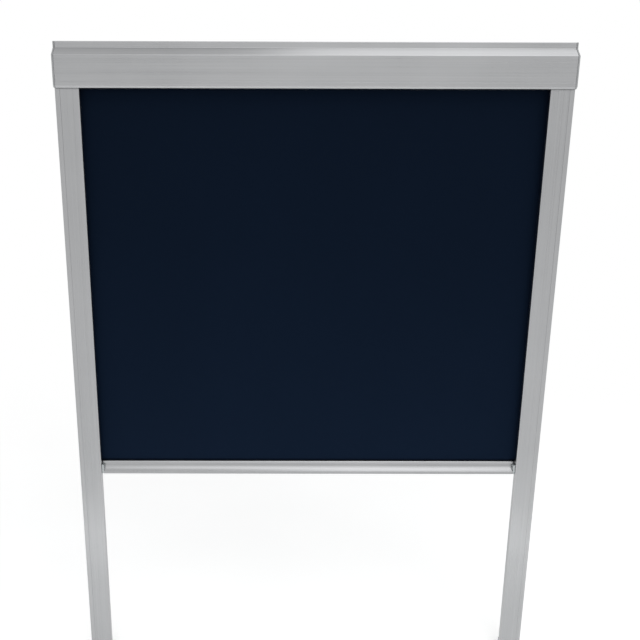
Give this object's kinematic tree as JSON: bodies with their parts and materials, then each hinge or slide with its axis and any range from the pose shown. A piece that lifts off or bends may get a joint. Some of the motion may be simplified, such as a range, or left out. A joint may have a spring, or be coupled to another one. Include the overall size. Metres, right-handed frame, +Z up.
{
  "type": "skylight window blind",
  "caption": "Blackout roller blind for a roof window: silver head box with a spring roller, two side rails, navy cloth and a pull bar that stays where it is put.",
  "frame": {"origin": "the middle of the head box's flat top face, straight above the roller's axis", "axes": "+X across the window to the right, +Z up the window's slope, +Y into the window, towards the glass; the room side faces -Y"},
  "size_m": [0.6, 0.0617, 0.8],
  "materials": {
    "anodised_silver": "satin anodised",
    "silver_plastic": "satin moulded",
    "grey_plastic": "satin moulded",
    "navy_cloth": "matt coated blackout cloth",
    "black_pile": "dense pile",
    "zinc_steel": "zinc plated",
    "spring_steel": "oiled",
    "white_acetal": "satin moulded"
  },
  "bodies": {
    "frame": {"head_cover": "anodised_silver", "head_back": "anodised_silver", "end_cap_left": "silver_plastic", "end_cap_right": "silver_plastic", "cap_screw_left_upper": "zinc_steel", "cap_screw_left_lower": "zinc_steel", "cap_screw_right_upper": "zinc_steel", "cap_screw_right_lower": "zinc_steel", "clip_bracket_left": "zinc_steel", "clip_bracket_right": "zinc_steel", "idle_bush": "white_acetal", "spring_shaft": "zinc_steel", "spring_anchor": "white_acetal", "torsion_spring": "spring_steel", "fabric_sheet": "navy_cloth", "rail_base_left": "anodised_silver", "rail_base_right": "anodised_silver", "side_channel_left": "anodised_silver", "side_channel_right": "anodised_silver", "front_seal_left": "black_pile", "front_seal_right": "black_pile", "rear_seal_left": "black_pile", "rear_seal_right": "black_pile", "foot_cap_left": "silver_plastic", "foot_cap_right": "silver_plastic"},
    "roller": {"roller_tube": "anodised_silver", "fabric_roll": "navy_cloth", "idle_plug": "white_acetal", "bearing_plug": "white_acetal", "drive_plug": "white_acetal"},
    "pull_bar": {"bar_profile": "anodised_silver", "bar_spline": "grey_plastic", "bar_guide_left": "grey_plastic", "bar_guide_right": "grey_plastic", "pad_spring_left": "spring_steel", "pad_spring_right": "spring_steel"},
    "pad_left": {"brake_pad_left": "black_pile"},
    "pad_right": {"brake_pad_right": "black_pile"}
  },
  "joints": [
    {"name": "pull_bar_slide", "type": "slide", "parent": "frame", "child": "pull_bar", "axis": [0, 0, -1], "range_m": [-0.4647, 0.2578], "deforming": ["fabric_sheet"]},
    {"name": "roller_spin", "type": "hinge", "parent": "frame", "child": "roller", "pos_m": [0, 0, -0.02575], "axis": [1, 0, 0], "range_deg": [-2445, 1358]},
    {"name": "brake_pad_left_press", "type": "slide", "parent": "pull_bar", "child": "pad_left", "axis": [1, 0, 0], "range_m": [0, 0.0006], "stiffness_N_per_m": 300, "springref_m": -0.001},
    {"name": "brake_pad_right_press", "type": "slide", "parent": "pull_bar", "child": "pad_right", "axis": [-1, 0, 0], "range_m": [0, 0.0006], "stiffness_N_per_m": 300, "springref_m": -0.001}
  ],
  "couplings": [
    {"joint": "roller_spin", "follows": "pull_bar_slide", "rad_per_m": 91.7}
  ]
}
